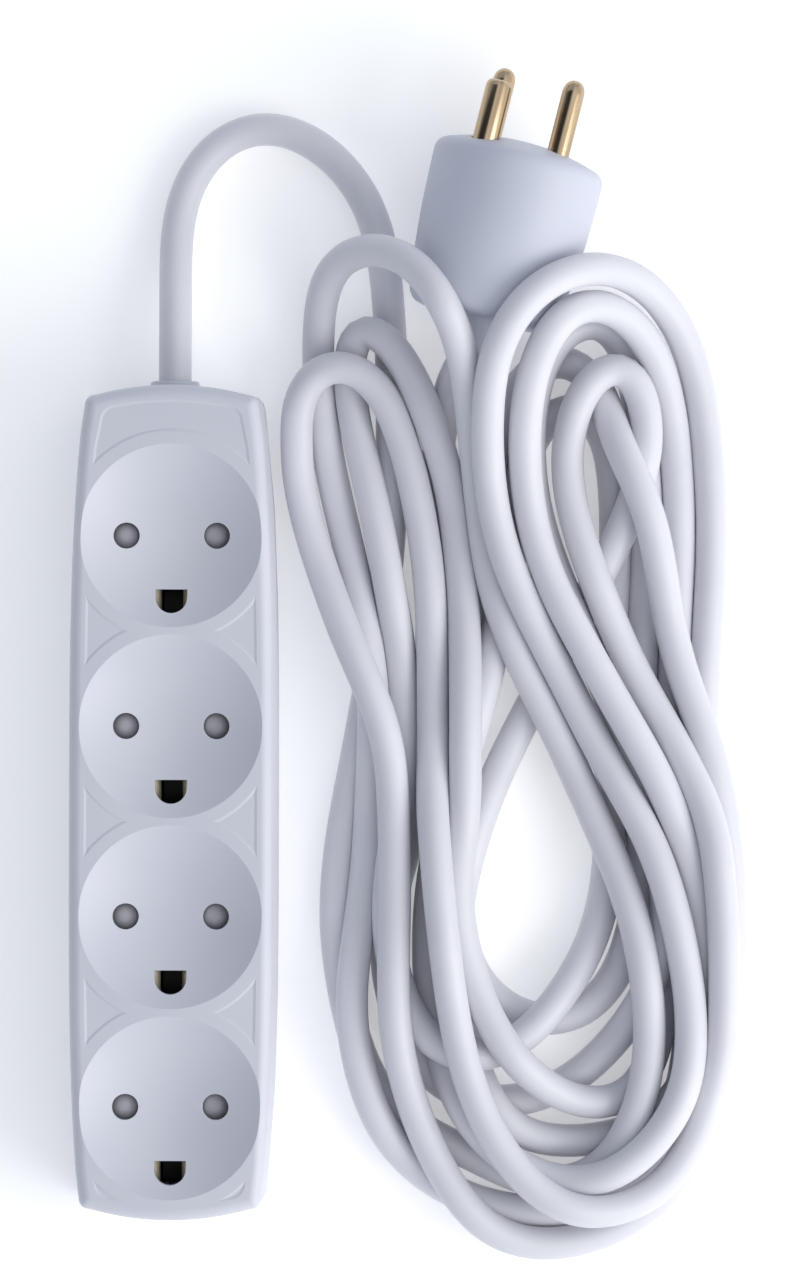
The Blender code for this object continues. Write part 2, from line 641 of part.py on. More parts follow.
def plug(frame):
    """The moulded plug: shell, pin bridge, three pins, cores and the sleeve round the cord."""
    pieces = []

    def pin_passages(margin, low, high):
        passages = [moved(rod("passage", PIN_RADIUS + margin, low, high, 24), x)
                    for x in (-PIN_OFFSET, PIN_OFFSET)]
        section = d_pin_outline(margin)
        passages.append(lofted("earth_passage", [(section, low), (section, high)]))
        return gathered("passages", passages)

    body = turned("plug_body", plug_shell(), 36)
    passages = pin_passages(GAP, 19.5, 60)
    pieces += [passages, as_part(cut(body, passages), "plug_body", WHITE)]

    bridge = rod("bridge", 14.3, 22, 28, 30)
    passages = pin_passages(GAP, 19, 31)
    pieces += [passages, as_part(cut(bridge, passages), "plug_insert", GREY)]

    pin = [(0, PIN_TIP), (1.2, PIN_TIP - 0.3), (2.0, PIN_TIP - 1.1), (PIN_RADIUS, PIN_TIP - 2.3),
           (PIN_RADIUS, 21.7), (3.6, 21.7), (3.6, 20), (0, 20)]
    for name, x in (("plug_pin_left", -PIN_OFFSET), ("plug_pin_right", PIN_OFFSET)):
        pieces.append(as_part(moved(turned(name, pin, 18), x), name, BRASS, 0.25, 1.0))

    section = d_pin_outline(0)
    earth = lofted("earth_pin", [(section, 20), (section, EARTH_PIN_TIP - 1.2),
                                 (drawn_in(section, 0.4), EARTH_PIN_TIP - 0.4),
                                 (drawn_in(section, 1.1), EARTH_PIN_TIP)])
    pieces.append(as_part(earth, "plug_earth_pin", BRASS, 0.25, 1.0))

    bore = CORD_RADIUS + GAP
    profile = [(bore, SLEEVE_FRONT), (5.0, SLEEVE_FRONT), (5.0, 5.2), (6.8, 5.2), (6.8, 3.2),
               (5.0, 3.2), (5.0, 0), (4.6, SLEEVE_REAR + 0.4), (4.3, SLEEVE_REAR),
               (bore, SLEEVE_REAR)]
    pieces.append(as_part(turned("plug_sleeve", profile, 20, ring=True), "plug_sleeve", WHITE))

    tail = wire("cord_tail", [(0, 0, SLEEVE_REAR - 0.2), (0, 0, SLEEVE_FRONT - 0.4)],
                CORD_RADIUS, 3)
    pieces.append(as_part(tail, "cord_tail", CORD_WHITE))

    for name, start, end, colour in (
        ("live", (-1.6, 0.9), (-PIN_OFFSET, 0), BROWN), ("neutral", (1.6, 0.9), (PIN_OFFSET, 0), BLUE),
        ("earth", (0, -1.9), (0, 1.3 - EARTH_OFFSET), GREEN_YELLOW),
    ):
        first, last = Vector(start), Vector(end)
        route = [(*first, SLEEVE_FRONT), (*first, 12.9), (*first.lerp(last, 0.5), 15.4),
                 (*last, 18.6), (*last, 19.6)]
        core = wire(f"plug_{name}_wire", smooth_through(route, 1.6), WIRE_RADIUS)
        pieces.append(as_part(core, f"plug_{name}_wire", colour, 0.5))
    for piece in pieces:
        piece.parent = frame


def smooth_faces():
    """Smooth shading on the round faces of every piece that is a mesh."""
    for obj in PARTS.objects:
        if obj.type == "MESH":
            obj.data.shade_smooth()
            obj.data.set_sharp_from_angle(angle=math.radians(35))


top_cover()
bottom_cover()
for screw_number, (screw_x, screw_y) in enumerate(CASE_SCREWS, 1):
    case_screw(screw_number, screw_x, screw_y)
for socket_number, socket_y in enumerate(SOCKET_YS, 1):
    shutter(socket_number, socket_y)
    shutter_spring(socket_number, socket_y)
    shutter_tray(socket_number, socket_y)
busbars()
strip_wires()
cord_bush()
cord_anchorage()
cord_lead()
plug_place = plug_frame()
cord_hank(plug_place)
plug(plug_place)
smooth_faces()
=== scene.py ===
"""A white four-way extension lead with round dished sockets, its folded cord and its plug."""

import math

import bmesh
import bpy
import numpy as np
from mathutils import Matrix, Vector


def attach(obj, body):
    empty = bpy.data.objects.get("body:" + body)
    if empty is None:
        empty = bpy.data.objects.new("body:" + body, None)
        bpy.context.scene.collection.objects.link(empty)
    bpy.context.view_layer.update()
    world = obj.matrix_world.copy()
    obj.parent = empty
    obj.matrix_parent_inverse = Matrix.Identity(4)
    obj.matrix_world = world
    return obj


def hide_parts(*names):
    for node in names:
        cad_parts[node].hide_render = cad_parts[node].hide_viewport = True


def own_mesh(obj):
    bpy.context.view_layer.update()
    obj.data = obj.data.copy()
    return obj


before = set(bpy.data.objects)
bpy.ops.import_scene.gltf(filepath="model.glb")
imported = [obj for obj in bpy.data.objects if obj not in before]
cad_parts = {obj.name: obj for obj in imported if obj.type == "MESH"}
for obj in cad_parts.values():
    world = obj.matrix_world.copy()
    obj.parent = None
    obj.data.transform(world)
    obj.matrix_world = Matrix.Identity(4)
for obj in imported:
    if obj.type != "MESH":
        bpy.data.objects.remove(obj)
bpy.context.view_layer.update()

# --- Camera, light and floor -------------------------------------------------------------------
# The lead lies on a white table and is seen from straight above. The right half of the room is
# bright and the left half dim, so every round form turns from light to bluish grey.

MM = 0.001

camera_data = bpy.data.cameras.new("camera")
camera_data.sensor_width = 36.0
camera_data.lens = 183.5
camera_data.clip_end = 20.0
camera = bpy.data.objects.new("camera", camera_data)
camera.location = (0.0481, 0.0342, 1.4)
camera.rotation_euler = (0, 0, math.radians(0.15))
bpy.context.scene.collection.objects.link(camera)
bpy.context.scene.camera = camera
bpy.context.scene.view_settings.view_transform = "Standard"

softbox_light = bpy.data.lights.new("softbox", "AREA")
softbox_light.shape = "SQUARE"
softbox_light.size = 0.9
softbox_light.energy = 7.0
softbox = bpy.data.objects.new("softbox", softbox_light)
softbox.location = (1.0, -0.40, 0.66)
softbox_aim = Vector((0.05, 0.02, 0)) - softbox.location
softbox.rotation_euler = softbox_aim.to_track_quat("-Z", "Y").to_euler()
bpy.context.scene.collection.objects.link(softbox)

room = bpy.data.worlds.new("room")
bpy.context.scene.world = room
room.use_nodes = True
room_nodes, room_links = room.node_tree.nodes, room.node_tree.links
heading = room_nodes.new("ShaderNodeTexCoord")
towards_softbox = room_nodes.new("ShaderNodeVectorMath")
towards_softbox.operation = "DOT_PRODUCT"
towards_softbox.inputs[1].default_value = Vector((0.80, -0.35, 0.45)).normalized()
brightness = room_nodes.new("ShaderNodeMapRange")
brightness.interpolation_type = "SMOOTHSTEP"
brightness.inputs["From Min"].default_value = 0.05
brightness.inputs["From Max"].default_value = 0.65
brightness.inputs["To Min"].default_value = 0.70
brightness.inputs["To Max"].default_value = 1.0
room_tint = room_nodes.new("ShaderNodeValToRGB")
room_tint.color_ramp.elements[0].color = (0.80, 0.87, 1.0, 1)
room_tint.color_ramp.elements[1].color = (1.0, 1.0, 1.0, 1)
room_links.new(heading.outputs["Generated"], towards_softbox.inputs[0])
room_links.new(towards_softbox.outputs["Value"], brightness.inputs["Value"])
room_links.new(towards_softbox.outputs["Value"], room_tint.inputs["Fac"])
room_links.new(brightness.outputs["Result"], room_nodes["Background"].inputs["Strength"])
room_links.new(room_tint.outputs["Color"], room_nodes["Background"].inputs["Color"])

# A black card hangs above the camera and draws the dark stripe down the plug's round pins.
card_mesh = bpy.data.meshes.new("black_card")
card_mesh.from_pydata([(-5.5, -0.8, 0), (0.0, -0.8, 0), (0.0, 0.8, 0), (-5.5, 0.8, 0)], [],
                      [(0, 1, 2, 3)])
black_card = bpy.data.objects.new("black_card", card_mesh)
black_card.location = (-0.22, 0.15, 1.6)
black_card.rotation_euler = (0, 0, math.radians(-14))
bpy.context.scene.collection.objects.link(black_card)
card_paint = bpy.data.materials.new("card_paint")
card_paint.use_nodes = True
card_shader = card_paint.node_tree.nodes["Principled BSDF"]
card_shader.inputs["Base Color"].default_value = (0.01, 0.01, 0.01, 1)
card_mesh.materials.append(card_paint)

table_mesh = bpy.data.meshes.new("table_top")
table_bm = bmesh.new()
bmesh.ops.create_grid(table_bm, x_segments=1, y_segments=1, size=2.0)
table_bm.to_mesh(table_mesh)
table_bm.free()
table_top = bpy.data.objects.new("table_top", table_mesh)
table_top.location = (0.05, 0.03, -0.0002)
bpy.context.scene.collection.objects.link(table_top)
table_paint = bpy.data.materials.new("table_paint")
table_paint.use_nodes = True
table_shader = table_paint.node_tree.nodes["Principled BSDF"]
table_shader.inputs["Base Color"].default_value = (0.97, 0.97, 0.97, 1)
table_shader.inputs["Roughness"].default_value = 0.7
table_shader.inputs["Emission Color"].default_value = (1.0, 1.0, 1.0, 1)
table_shader.inputs["Emission Strength"].default_value = 0.26
table_mesh.materials.append(table_paint)

# --- The cord ----------------------------------------------------------------------------------
# Three cores in a round white PVC sheath of 7 mm, extruded in one length. It leaves the strip
# straight, falls to the table in a loop, and lies in long loose folds up to the plug.

cord_radius = 3.5
plug_rear = Vector((64.8, 102.4, 18.4))
plug_heading = Vector((math.sin(math.radians(14)), math.cos(math.radians(14)), 0))

lead_route = [
    (0, 0.072, 0.011), (0, 0.080, 0.011), (0, 0.0884, 0.011), (0, 0.0976, 0.0103),
    (0, 0.1062, 0.0082), (0, 0.114, 0.006), (0.0001, 0.119, 0.0048), (0.0012, 0.1276, 0.0037),
    (0.0029, 0.1319, 0.0036), (0.0056, 0.1362, 0.0036), (0.0116, 0.1418, 0.0036),
    (0.0195, 0.1438, 0.0036), (0.0287, 0.1406, 0.0036), (0.0341, 0.1364, 0.0036),
    (0.0377, 0.1322, 0.0036), (0.0405, 0.1279, 0.0036), (0.0426, 0.1226, 0.0036),
]

# Each fold as points in millimetres, x and y on the table and then the layer that it lies in.
lowest_layer, fold_layer = 3.6, 6.0
folds = [
    [(45, 107, 0), (46, 77, 0), (45, 47, 0), (40, 8, 0), (36, -31, 0), (45, -64, 0), (68, -78, 0),
     (80, -83, 0), (93, -77, 1), (101, -58, 2), (99, -28, 2), (84, 10, 2), (68, 45, 1)],
    [(63, 81, 3), (60, 98, 4), (47, 116, 5), (36, 115, 4), (31, 104, 2), (32, 78, 1), (40, 42, 1),
     (43, 21, 1), (41, -15, 1), (38, -47, 1), (47, -73, 1)],
    [(67, -86, 0), (93, -84, 0), (105, -71, 0), (110, -39, 0), (111, -11, 0), (110, 21, 0),
     (113, 60, 2), (109, 96, 3), (97, 111, 4)],
    [(82, 111, 5), (70, 100, 5), (66, 80, 4), (70, 50, 3), (89, 13, 3), (102, -10, 3),
     (110, -42, 3), (109, -61, 3), (100, -74, 3), (87, -81, 2), (74, -77, 2), (64, -65, 1),
     (56, -40, 1), (57, -9, 1), (64, 21, 1)],
    [(69, 55, 0), (74, 76, 0), (84, 85, 0), (89, 83, 0), (94, 66, 0), (93, 30, 1), (93, -8, 1),
     (90, -28, 1), (76, -49, 1), (64, -55, 1), (53, -50, 1), (45, -28, 1), (48, 12, 1),
     (44, 53, 1)],
    [(37, 91, 2), (40, 102, 3), (47, 96, 3), (59, 68, 3), (62, 34, 3), (61, 2, 3), (60, -25, 3),
     (71, -53, 2), (87, -64, 2), (99, -61, 1), (106, -34, 1), (108, 4, 1), (108, 34, 1)],
    [(108, 70, 1), (101, 96, 3), (91, 105, 4), (83, 104, 4), (75, 87, 4), (77, 55, 3),
     (91, 26, 3), (105, 1, 3), (112, -21, 2), (112, -53, 1), (102, -69, 1), (81, -73, 2),
     (70, -69, 1), (62, -57, 1), (59, -30, 0), (65, -3, 1), (83, 33, 0), (92, 50, 0)],
    [(100, 73, 2), (98, 90, 4), (94, 94, 4), (86, 84, 4), (84, 68, 4), (95, 34, 4), (111, 1, 3),
     (116, -31, 2), (113, -63, 2), (103, -82, 2), (87, -86, 2), (73, -77, 3), (63, -58, 4),
     (58, -25, 4), (56, 13, 4), (54, 51, 4)],
    [(47, 80, 4), (40, 91, 4), (32, 93, 4), (26, 86, 4), (26, 67, 3), (38, 32, 3), (45, 15, 3),
     (47, -10, 3), (48, -51, 3), (56, -76, 2), (69, -92, 1), (87, -93, 0), (104, -82, 0),
     (113, -63, 0)],
    [(118, -25, 3), (114, 8, 3), (107, 30, 3), (100, 64, 2), (93, 79, 2), (89, 91, 1),
     (81, 95, 1), (73, 86, 1), (68, 55, 0), (64, 17, 0), (60, -20, 0), (63, -36, 0), (72, -45, 0),
     (79, -47, 0), (87, -45, 0), (93, -40, 0)],
    [(100, -19, 0), (101, 9, 1), (100, 38, 2), (99, 79, 1), (95, 98, 1), (91, 103, 1),
     (86, 102, 1), (81, 98, 1), (76, 83, 1), (77, 62, 1), (88, 33, 1), (103, -2, 1)],
    [(105, -34, 0), (95, -51, 0), (81, -62, 0), (64, -63, 0), (53, -54, 0), (45, -32, 0),
     (51, 2, 0), (54, 34, 0), (55, 66, 0), (59, 91, 1)],
]


def smooth_curve(points, spacing):
    """A centripetal Catmull-Rom curve through the points, read off at an even spacing."""
    stops = np.array(points, dtype=float)
    ends = np.vstack([2 * stops[0] - stops[1], stops, 2 * stops[-1] - stops[-2]])
    line = []
    for a, b, c, d in zip(ends, ends[1:], ends[2:], ends[3:]):
        ab, bc, cd = (math.sqrt(np.linalg.norm(step)) for step in (b - a, c - b, d - c))
        leaving = ((b - a) / ab - (c - a) / (ab + bc) + (c - b) / bc) * bc
        arriving = ((c - b) / bc - (d - b) / (bc + cd) + (d - c) / cd) * bc
        steps = max(1, round(2 * bc**2 / spacing))
        t = (np.arange(steps) / steps)[:, None]
        rise = t**2 * (3 - 2 * t)
        line.append(b + rise * (c - b) + t * (1 - t) ** 2 * leaving - t**2 * (1 - t) * arriving)
    line = np.vstack([*line, stops[-1:]])
    along = np.concatenate([[0], np.cumsum(np.linalg.norm(np.diff(line, axis=0), axis=1))])
    even = np.linspace(0, along[-1], round(along[-1] / spacing) + 1)
    return np.stack([np.interp(even, along, line[:, axis]) for axis in range(3)], axis=1)


def stiffened(values, reach, share):
    """Bending stiffness: each value gives way towards the bend of its neighbours."""
    bend = (4 * (values[reach:-3 * reach] + values[3 * reach:-reach]) - 6 * values[2 * reach:-2 * reach]
            - values[:-4 * reach] - values[4 * reach:]) / 16
    result = values.copy()
    result[2 * reach:-2 * reach] += share * bend
    return result


def lifted(ways, sideways):
    """Directions turned upright, because heavy folds give way upwards rather than sideways."""
    upright = ways * np.array([sideways, sideways, 1.0])
    return upright / (np.linalg.norm(upright, axis=1)[:, None] + 1e-9)


def clear_of_itself(line, a, b, thick):
    """Moves the points of each crossing apart until they touch. The later one goes on top."""
    apart = line[a] - line[b]
    distance = np.linalg.norm(apart, axis=1) + 1e-9
    overlap = np.clip(thick - distance, 0, None)
    lean = apart.copy()
    lean[:, 2] -= np.where(np.abs(apart[:, 2]) < 0.6, 0.3, 0)
    way = lifted(lean, 0.3)
    along = np.clip((way * apart).sum(axis=1) / distance, 0.35, 1)
    push = way * (0.65 * overlap / along)[:, None]
    total, hits = np.zeros_like(line), np.zeros(len(line))
    np.add.at(total, a, push)
    np.add.at(total, b, -push)
    np.add.at(hits, a, overlap > 0)
    np.add.at(hits, b, overlap > 0)
    return line + total / np.maximum(hits, 1)[:, None]


plug_depths = [0, 4, 20, 34]
plug_radii = [15.4, 16.4, 17.9, 18.3]
strip_side = 25.9
held_at_strip, held_at_plug = 26, 5


def clear_of_plug(line):
    """Lifts the folds that cross the plug's body on to its surface."""
    from_rear = line - np.array(plug_rear)
    depth = from_rear @ np.array(plug_heading)
    outward = from_rear - np.outer(depth, plug_heading)
    distance = np.linalg.norm(outward, axis=1) + 1e-9
    body = np.interp(depth, plug_depths, plug_radii) + cord_radius + 0.1
    body[(depth < -1) | (depth > 42)] = 0
    body[-14:] = 0
    way = lifted(outward, 0.06)
    along = np.clip((way * outward).sum(axis=1) / distance, 0.2, 1)
    return line + way * (np.clip(body - distance, 0, None) / along)[:, None]


def laid_down(route_line, passes):
    """Lets the folds sink until they rest on the table, on the plug and on each other."""
    line = route_line.copy()
    for _ in range(5):
        line[:, :2] = stiffened(line[:, :2], 2, 0.9)
    flat = line[:, :2].copy()
    ends = line.copy()
    thick = 2 * cord_radius
    spacing = float(np.linalg.norm(line[1] - line[0]))
    first, second = np.triu_indices(len(line), k=math.ceil(2.2 * thick / spacing))
    for step in range(passes):
        if step % 5 == 0:
            near = ((line[first] - line[second]) ** 2).sum(axis=1) < (thick + 3) ** 2
            a, b = first[near], second[near]
        line[:, 2] -= 0.15 if step < 0.8 * passes else 0.02
        line[1:-1, 2] += 0.3 * (0.5 * (line[:-2, 2] + line[2:, 2]) - line[1:-1, 2])
        line[:, 2] = stiffened(stiffened(line[:, 2], 2, 0.9), 2, 0.9)
        shift = line[:, :2] - flat
        shift[2:-2] += 0.5 * (0.5 * (shift[:-4] + shift[4:]) - shift[2:-2])
        line[:, :2] = flat + 0.97 * shift
        line = clear_of_plug(clear_of_itself(line, a, b, thick))
        beside = line[60:, 1] < 90
        line[60:, 0] = np.where(beside, np.maximum(line[60:, 0], strip_side), line[60:, 0])
        line[:, 2] = np.maximum(line[:, 2], cord_radius + 0.05)
        line[:held_at_strip] = ends[:held_at_strip]
        line[-held_at_plug:] = ends[-held_at_plug:]
    return line


route = [tuple(value / MM for value in point) for point in lead_route]
for fold in folds:
    route += [(x, y, lowest_layer + fold_layer * layer) for x, y, layer in fold]
route += [tuple(plug_rear + plug_heading * depth) for depth in (-7.0, 0.0, 8.0)]
cord_line = laid_down(smooth_curve(route, 3.5), 300)
for _ in range(4):
    cord_line = stiffened(cord_line, 1, 0.8)
cord_line = smooth_curve(cord_line, 1.75) * MM

cord_curve = bpy.data.curves.new("cord", "CURVE")
cord_curve.dimensions = "3D"
cord_curve.bevel_depth = cord_radius * MM
cord_curve.bevel_resolution = 6
cord_curve.use_fill_caps = True
cord_spline = cord_curve.splines.new("POLY")
cord_spline.points.add(len(cord_line) - 1)
for spline_point, (x, y, z) in zip(cord_spline.points, cord_line):
    spline_point.co = (x, y, z, 1.0)
cord = bpy.data.objects.new("cord", cord_curve)
bpy.context.scene.collection.objects.link(cord)


def new_group(name, inputs, outputs):
    """An empty shader node group with number inputs and the named outputs."""
    group = bpy.data.node_groups.new(name, "ShaderNodeTree")
    for label, default in inputs:
        socket = group.interface.new_socket(name=label, in_out="INPUT", socket_type="NodeSocketFloat")
        socket.default_value = default
    for label in outputs:
        group.interface.new_socket(name=label, in_out="OUTPUT", socket_type="NodeSocketFloat")
    return group, group.nodes.new("NodeGroupInput"), group.nodes.new("NodeGroupOutput")


def moulded_surface_group():
    """The fine grain of a mould's wall and the slow waviness of moulded plastic."""
    group, entry, out = new_group(
        "moulded_surface", [("Grain Scale", 2500.0), ("Wave Scale", 60.0)], ["Height", "Tone"]
    )
    nodes, links = group.nodes, group.links
    place = nodes.new("ShaderNodeTexCoord")
    grain = nodes.new("ShaderNodeTexNoise")
    grain.inputs["Detail"].default_value = 3.0
    wave = nodes.new("ShaderNodeTexNoise")
    wave.inputs["Detail"].default_value = 2.0
    links.new(place.outputs["Object"], grain.inputs["Vector"])
    links.new(place.outputs["Object"], wave.inputs["Vector"])
    links.new(entry.outputs["Grain Scale"], grain.inputs["Scale"])
    links.new(entry.outputs["Wave Scale"], wave.inputs["Scale"])
    mix = nodes.new("ShaderNodeMath")
    mix.operation = "MULTIPLY_ADD"
    mix.inputs[1].default_value = 0.35
    links.new(grain.outputs["Fac"], mix.inputs[0])
    links.new(wave.outputs["Fac"], mix.inputs[2])
    links.new(mix.outputs["Value"], out.inputs["Height"])
    links.new(wave.outputs["Fac"], out.inputs["Tone"])
    return group


moulded_surface = moulded_surface_group()


def plastic(name, dark, light, roughness, bump, grain_scale, wave_scale, coat=0.0):
    """A moulded plastic whose colour drifts a little and whose skin has a fine grain."""
    material = bpy.data.materials.new(name)
    material.use_nodes = True
    nodes, links = material.node_tree.nodes, material.node_tree.links
    shader = nodes["Principled BSDF"]
    surface = nodes.new("ShaderNodeGroup")
    surface.node_tree = moulded_surface
    surface.inputs["Grain Scale"].default_value = grain_scale
    surface.inputs["Wave Scale"].default_value = wave_scale
    tint = nodes.new("ShaderNodeValToRGB")
    tint.color_ramp.elements[0].position = 0.3
    tint.color_ramp.elements[0].color = (*dark, 1)
    tint.color_ramp.elements[1].position = 0.7
    tint.color_ramp.elements[1].color = (*light, 1)
    links.new(surface.outputs["Tone"], tint.inputs["Fac"])
    links.new(tint.outputs["Color"], shader.inputs["Base Color"])
    gloss = nodes.new("ShaderNodeMapRange")
    gloss.inputs["To Min"].default_value = roughness - 0.05
    gloss.inputs["To Max"].default_value = roughness + 0.05
    links.new(surface.outputs["Tone"], gloss.inputs["Value"])
    links.new(gloss.outputs["Result"], shader.inputs["Roughness"])
    relief = nodes.new("ShaderNodeBump")
    relief.inputs["Strength"].default_value = bump
    relief.inputs["Distance"].default_value = 0.0001
    links.new(surface.outputs["Height"], relief.inputs["Height"])
    links.new(relief.outputs["Normal"], shader.inputs["Normal"])
    shader.inputs["Coat Weight"].default_value = coat
    return material


cord_sheath = plastic("cord_sheath", (0.67, 0.67, 0.715), (0.72, 0.72, 0.76), 0.42, 0.25, 1800, 45)
cord_curve.materials.append(cord_sheath)
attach(cord, "lead")
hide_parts("cord_lead", "cord_hank", "cord_tail")

# --- Top cover ---------------------------------------------------------------------------------
# The upper shell of the strip, injection-moulded in white ABS. Four round dishes take the plugs,
# each with two pin holes and an earth slot, and shallow fields fill the top between their rims.

white_strip = plastic("white_strip", (0.59, 0.60, 0.67), (0.63, 0.64, 0.70), 0.42, 0.12, 2600, 30)
strip_length, strip_width, strip_height = 177.0, 44.4, 34.0
end_taper, end_bow, corner_radius = 3.0, 3.0, 3.0
draft = 0.9 / strip_height
edge_radius = 2.5
wall = 2.2
seam_height = 9.3
socket_ys = [56.0, 16.0, -24.0, -64.0]
socket_middle = -4.0
dish_radius, dish_depth = 19.25, 5.5
dish_sphere = (dish_radius**2 + dish_depth**2) / (2 * dish_depth)
pin_offset, pin_hole_radius = 9.5, 2.75
slot_flat, slot_half_width, slot_length = 11.3, 3.35, 5.0
ring_radius, field_depth = 21.9, 0.16


def round_points(centre, radius, start, end, steps):
    """Points along a circle, from one angle in degrees to another."""
    angles = [math.radians(start + (end - start) * step / steps) for step in range(steps + 1)]
    return [(centre[0] + radius * math.cos(a), centre[1] + radius * math.sin(a)) for a in angles]


def strip_outline(inset, rounding=None):
    """The strip from above: sides that draw in towards the ends, and slightly bowed ends."""
    radius = rounding or max(corner_radius - inset, 0.8)

    def side(y):
        along = abs(y - socket_middle) / (strip_length / 2)
        return strip_width / 2 - end_taper * along**3.5 - inset

    def end(x):
        return strip_length / 2 - end_bow * (x / 19) ** 2 - inset

    def corner(sign):
        x = side(sign * (strip_length / 2 - end_bow)) - radius
        return x, end(x) - radius

    right, top = corner(1)
    left, bottom = corner(-1)
    side_steps, end_steps = 28, 12
    ys = [-bottom + (top + bottom) * step / side_steps for step in range(1, side_steps)]
    shares = [1 - 2 * step / end_steps for step in range(1, end_steps)]
    outline = [(side(y), y) for y in ys]
    outline += round_points((right, top), radius, 0, 90, 6)
    outline += [(right * share, end(right * share)) for share in shares]
    outline += round_points((-right, top), radius, 90, 180, 6)
    outline += [(-side(y), y) for y in reversed(ys)]
    outline += round_points((-left, -bottom), radius, 180, 270, 6)
    outline += [(-left * share, -end(left * share)) for share in shares]
    outline += round_points((left, -bottom), radius, 270, 360, 6)
    return outline


def solid(name, sections):
    """A closed mesh through flat outlines of the same number of points, given in millimetres."""
    mesh = bpy.data.meshes.new(name)
    count = len(sections[0][0])
    points = [(x * MM, y * MM, z * MM) for outline, z in sections for x, y in outline]
    faces = [tuple(reversed(range(count)))]
    for level in range(len(sections) - 1):
        low = level * count
        for i in range(count):
            j = (i + 1) % count
            faces.append((low + i, low + j, low + count + j, low + count + i))
    last = (len(sections) - 1) * count
    faces.append(tuple(range(last, last + count)))
    mesh.from_pydata(points, [], faces)
    obj = bpy.data.objects.new(name, mesh)
    bpy.context.scene.collection.objects.link(obj)
    return obj


def strip_solid(name, levels):
    """The strip's outline drawn in by an inset at each height. The draft is added here."""
    return solid(name, [(strip_outline(inset + draft * z), z) for inset, z in levels])


def lathed(name, profile, steps, ring=False):
    """A turned piece about Z, from (radius, height) points that run down its outer side."""
    mesh = bpy.data.meshes.new(name)
    edges = [(i, i + 1) for i in range(len(profile) - 1)]
    if ring:
        edges.append((len(profile) - 1, 0))
    mesh.from_pydata([(r * MM, 0, z * MM) for r, z in profile], edges, [])
    obj = bpy.data.objects.new(name, mesh)
    bpy.context.scene.collection.objects.link(obj)
    screw = obj.modifiers.new("turn", "SCREW")
    screw.axis = "Z"
    screw.steps = steps
    screw.render_steps = steps
    screw.use_merge_vertices = True
    screw.merge_threshold = 0.00001
    return as_mesh(obj)


def as_mesh(obj):
    """Replaces an object's mesh with what its modifiers make of it."""
    bpy.context.view_layer.update()
    made = bpy.data.meshes.new_from_object(obj.evaluated_get(bpy.context.evaluated_depsgraph_get()))
    obj.modifiers.clear()
    obj.data = made
    return obj


def with_tools(obj, tools, operation="DIFFERENCE"):
    """Cuts the tools from a piece, or joins them to it, and removes them."""
    for tool in tools:
        step = obj.modifiers.new("tool", "BOOLEAN")
        step.operation = operation
        step.solver = "EXACT"
        step.object = tool
    as_mesh(obj)
    for tool in tools:
        bpy.data.objects.remove(tool, do_unlink=True)
    return obj


def at(obj, x=0.0, y=0.0, z=0.0):
    """Puts a piece at a place given in millimetres."""
    obj.location = Vector((x, y, z)) * MM
    return obj


def finished(obj, material, edge=0.0, angle=35, sharp=None):
    """Soft broken edges, smooth shading and the piece's material."""
    if edge:
        bevel = obj.modifiers.new("broken_edges", "BEVEL")
        bevel.width = edge * MM
        bevel.segments = 2
        bevel.limit_method = "ANGLE"
        bevel.angle_limit = math.radians(angle)
        bevel.use_clamp_overlap = True
        as_mesh(obj)
    obj.data.shade_smooth()
    obj.data.set_sharp_from_angle(angle=math.radians(sharp or angle))
    if sharp:
        shading = obj.modifiers.new("even_shading", "WEIGHTED_NORMAL")
        shading.weight = 90
        shading.keep_sharp = True
    obj.data.materials.clear()
    obj.data.materials.append(material)
    return obj


def dish_tool(y, extra, sphere_extra, steps, rings):
    """A lens whose lower side is the dish's ball surface."""
    middle = strip_height - dish_depth + dish_sphere
    profile = [(0, 38), (dish_radius + extra, 38)]
    for ring in range(rings + 1):
        radius = (dish_radius + extra) * (1 - ring / rings)
        profile.append((radius, middle - math.sqrt((dish_sphere + sphere_extra) ** 2 - radius**2)))
    return at(lathed("dish_tool", profile, steps), y=y)


def earth_slot(y):
    """The D-shaped opening for the earth pin: flat towards the pin holes, round below."""
    centre = (0, slot_half_width - slot_flat - slot_length)
    outline = [(slot_half_width, -slot_flat), (-slot_half_width, -slot_flat),
               *round_points(centre, slot_half_width, 180, 360, 20)]
    return at(solid("slot_tool", [(outline, 22), (outline, 38)]), y=y)


edge_levels = [(0, seam_height), (0, strip_height - edge_radius)]
for angle in range(9, 91, 9):
    turn = math.radians(angle)
    edge_levels.append((edge_radius * (1 - math.cos(turn)),
                        strip_height - edge_radius * (1 - math.sin(turn))))
top_cover = strip_solid("top_cover_shell", edge_levels)
hollow = strip_solid("hollow", [(wall, 7), (wall, 30.6), (wall + 1.2, 31.8)])
with_tools(hollow, [dish_tool(y, 0.6, 2.0, 48, 5) for y in socket_ys])
fields = solid("fields", [(strip_outline(4.6, 3.0), strip_height - field_depth),
                          (strip_outline(4.05, 3.5), strip_height),
                          (strip_outline(3.95, 3.6), strip_height + 2)])
ring_profile = [(0, 38), (ring_radius, 38), (ring_radius, 34), (ring_radius + 1.0, 33.7), (0, 33.7)]
with_tools(fields, [at(lathed("ring", ring_profile, 96), y=y) for y in socket_ys])
cuts = [hollow, fields]
hole_profile = [(0, 38), (pin_hole_radius, 38), (pin_hole_radius, 24), (0, 24)]
for y in socket_ys:
    cuts += [dish_tool(y, 0.0, 0.0, 128, 14), earth_slot(y)]
    cuts += [at(lathed("hole", hole_profile, 40), x, y) for x in (-pin_offset, pin_offset)]
entry_radius, entry_height = 5.5, 11
